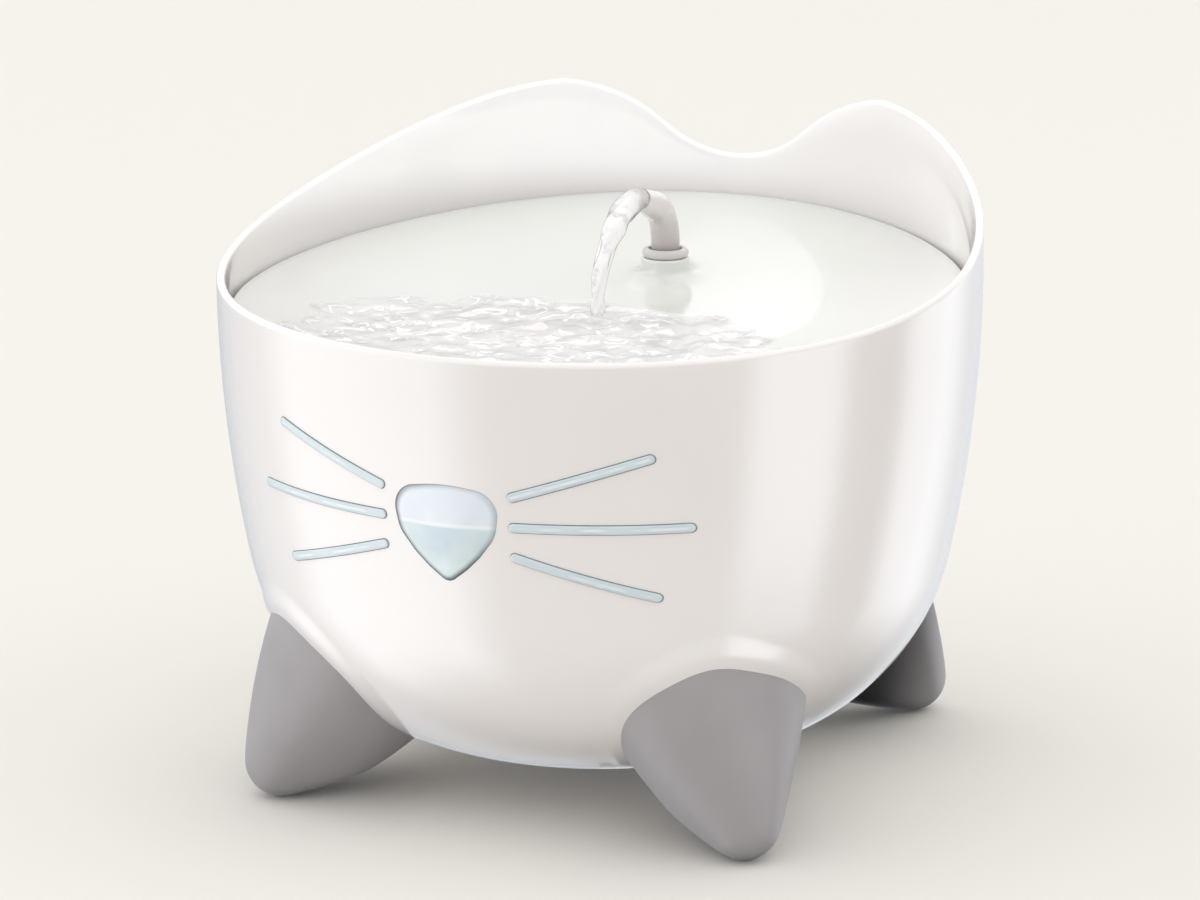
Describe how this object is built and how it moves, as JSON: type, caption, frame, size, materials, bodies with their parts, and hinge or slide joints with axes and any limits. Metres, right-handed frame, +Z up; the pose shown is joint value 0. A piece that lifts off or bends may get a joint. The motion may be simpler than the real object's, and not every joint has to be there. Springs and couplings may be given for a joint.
{
  "type": "pet water fountain",
  "caption": "Round pet drinking fountain: an eared reservoir bowl on feet, a lift-out dish tray with a swivelling spout, a sliding filter basket and a submersible pump.",
  "frame": {"origin": "on the bowl's vertical axis, at the ground that the feet stand on", "axes": "+Z up, -Y towards the front where the face windows are, +X to the right of someone standing behind it"},
  "size_m": [0.255, 0.255, 0.2146],
  "materials": {
    "bowl_plastic": "glossy warm white moulding",
    "tray_plastic": "glossy white moulding",
    "window_plastic": "clear pale blue-green",
    "foot_plastic": "matte mid grey",
    "screw_steel": "plain stainless steel",
    "grommet_rubber": "soft grey rubber",
    "collar_plastic": "satin light grey",
    "spout_plastic": "translucent warm grey",
    "riser_plastic": "translucent pale tube",
    "basket_plastic": "matte grey moulding",
    "carbon_pad": "granular carbon in felt",
    "foam_pad": "open white foam",
    "pump_plastic": "satin black moulding",
    "cup_rubber": "clear soft rubber",
    "bush_rubber": "black rubber",
    "shaft_steel": "polished shaft",
    "magnet_ferrite": "bare sintered ferrite",
    "impeller_plastic": "natural white moulding",
    "sponge_foam": "open dark foam",
    "dial_plastic": "satin grey moulding"
  },
  "bodies": {
    "bowl": {"reservoir_bowl": "bowl_plastic", "nose_window": "window_plastic", "whisker_left_top": "window_plastic", "whisker_left_middle": "window_plastic", "whisker_left_low": "window_plastic", "whisker_right_top": "window_plastic", "whisker_right_middle": "window_plastic", "whisker_right_low": "window_plastic", "foot_front_left": "foot_plastic", "foot_front_right": "foot_plastic", "foot_rear_left": "foot_plastic", "foot_rear_right": "foot_plastic", "foot_screws": "screw_steel", "cord_grommet": "grommet_rubber", "riser_tube": "riser_plastic", "pump_body": "pump_plastic", "suction_cups": "cup_rubber", "shaft_bushes": "bush_rubber", "impeller_shaft": "shaft_steel", "chamber_cover": "pump_plastic"},
    "tray": {"drinking_tray": "tray_plastic", "spout_collar": "collar_plastic"},
    "spout": {"spout": "spout_plastic"},
    "filter": {"filter_basket": "basket_plastic", "filter_carbon": "carbon_pad", "filter_foam": "foam_pad"},
    "cap": {"pump_cap": "pump_plastic", "cap_sponge": "sponge_foam"},
    "dial": {"flow_dial": "dial_plastic"},
    "rotor": {"impeller": "impeller_plastic", "rotor_magnet": "magnet_ferrite"}
  },
  "joints": [
    {"name": "tray_lift", "type": "slide", "parent": "bowl", "child": "tray", "axis": [0, 0, 1], "range_m": [0, 0.1]},
    {"name": "spout_swivel", "type": "hinge", "parent": "tray", "child": "spout", "pos_m": [0, 0.058, 0.16], "axis": [0, 0, 1], "range_deg": [-45, 45]},
    {"name": "filter_slide", "type": "slide", "parent": "tray", "child": "filter", "axis": [0, 1, 0], "range_m": [0, 0.045]},
    {"name": "cap_lift", "type": "slide", "parent": "bowl", "child": "cap", "axis": [0, 0, 1], "range_m": [0, 0.03]},
    {"name": "dial_turn", "type": "hinge", "parent": "cap", "child": "dial", "pos_m": [0, 0.026, 0.072], "axis": [0, 0, 1], "range_deg": [0, 60]},
    {"name": "impeller_spin", "type": "hinge", "parent": "bowl", "child": "rotor", "pos_m": [0, 0.026, 0.04], "axis": [0, 0, 1], "continuous": true}
  ]
}
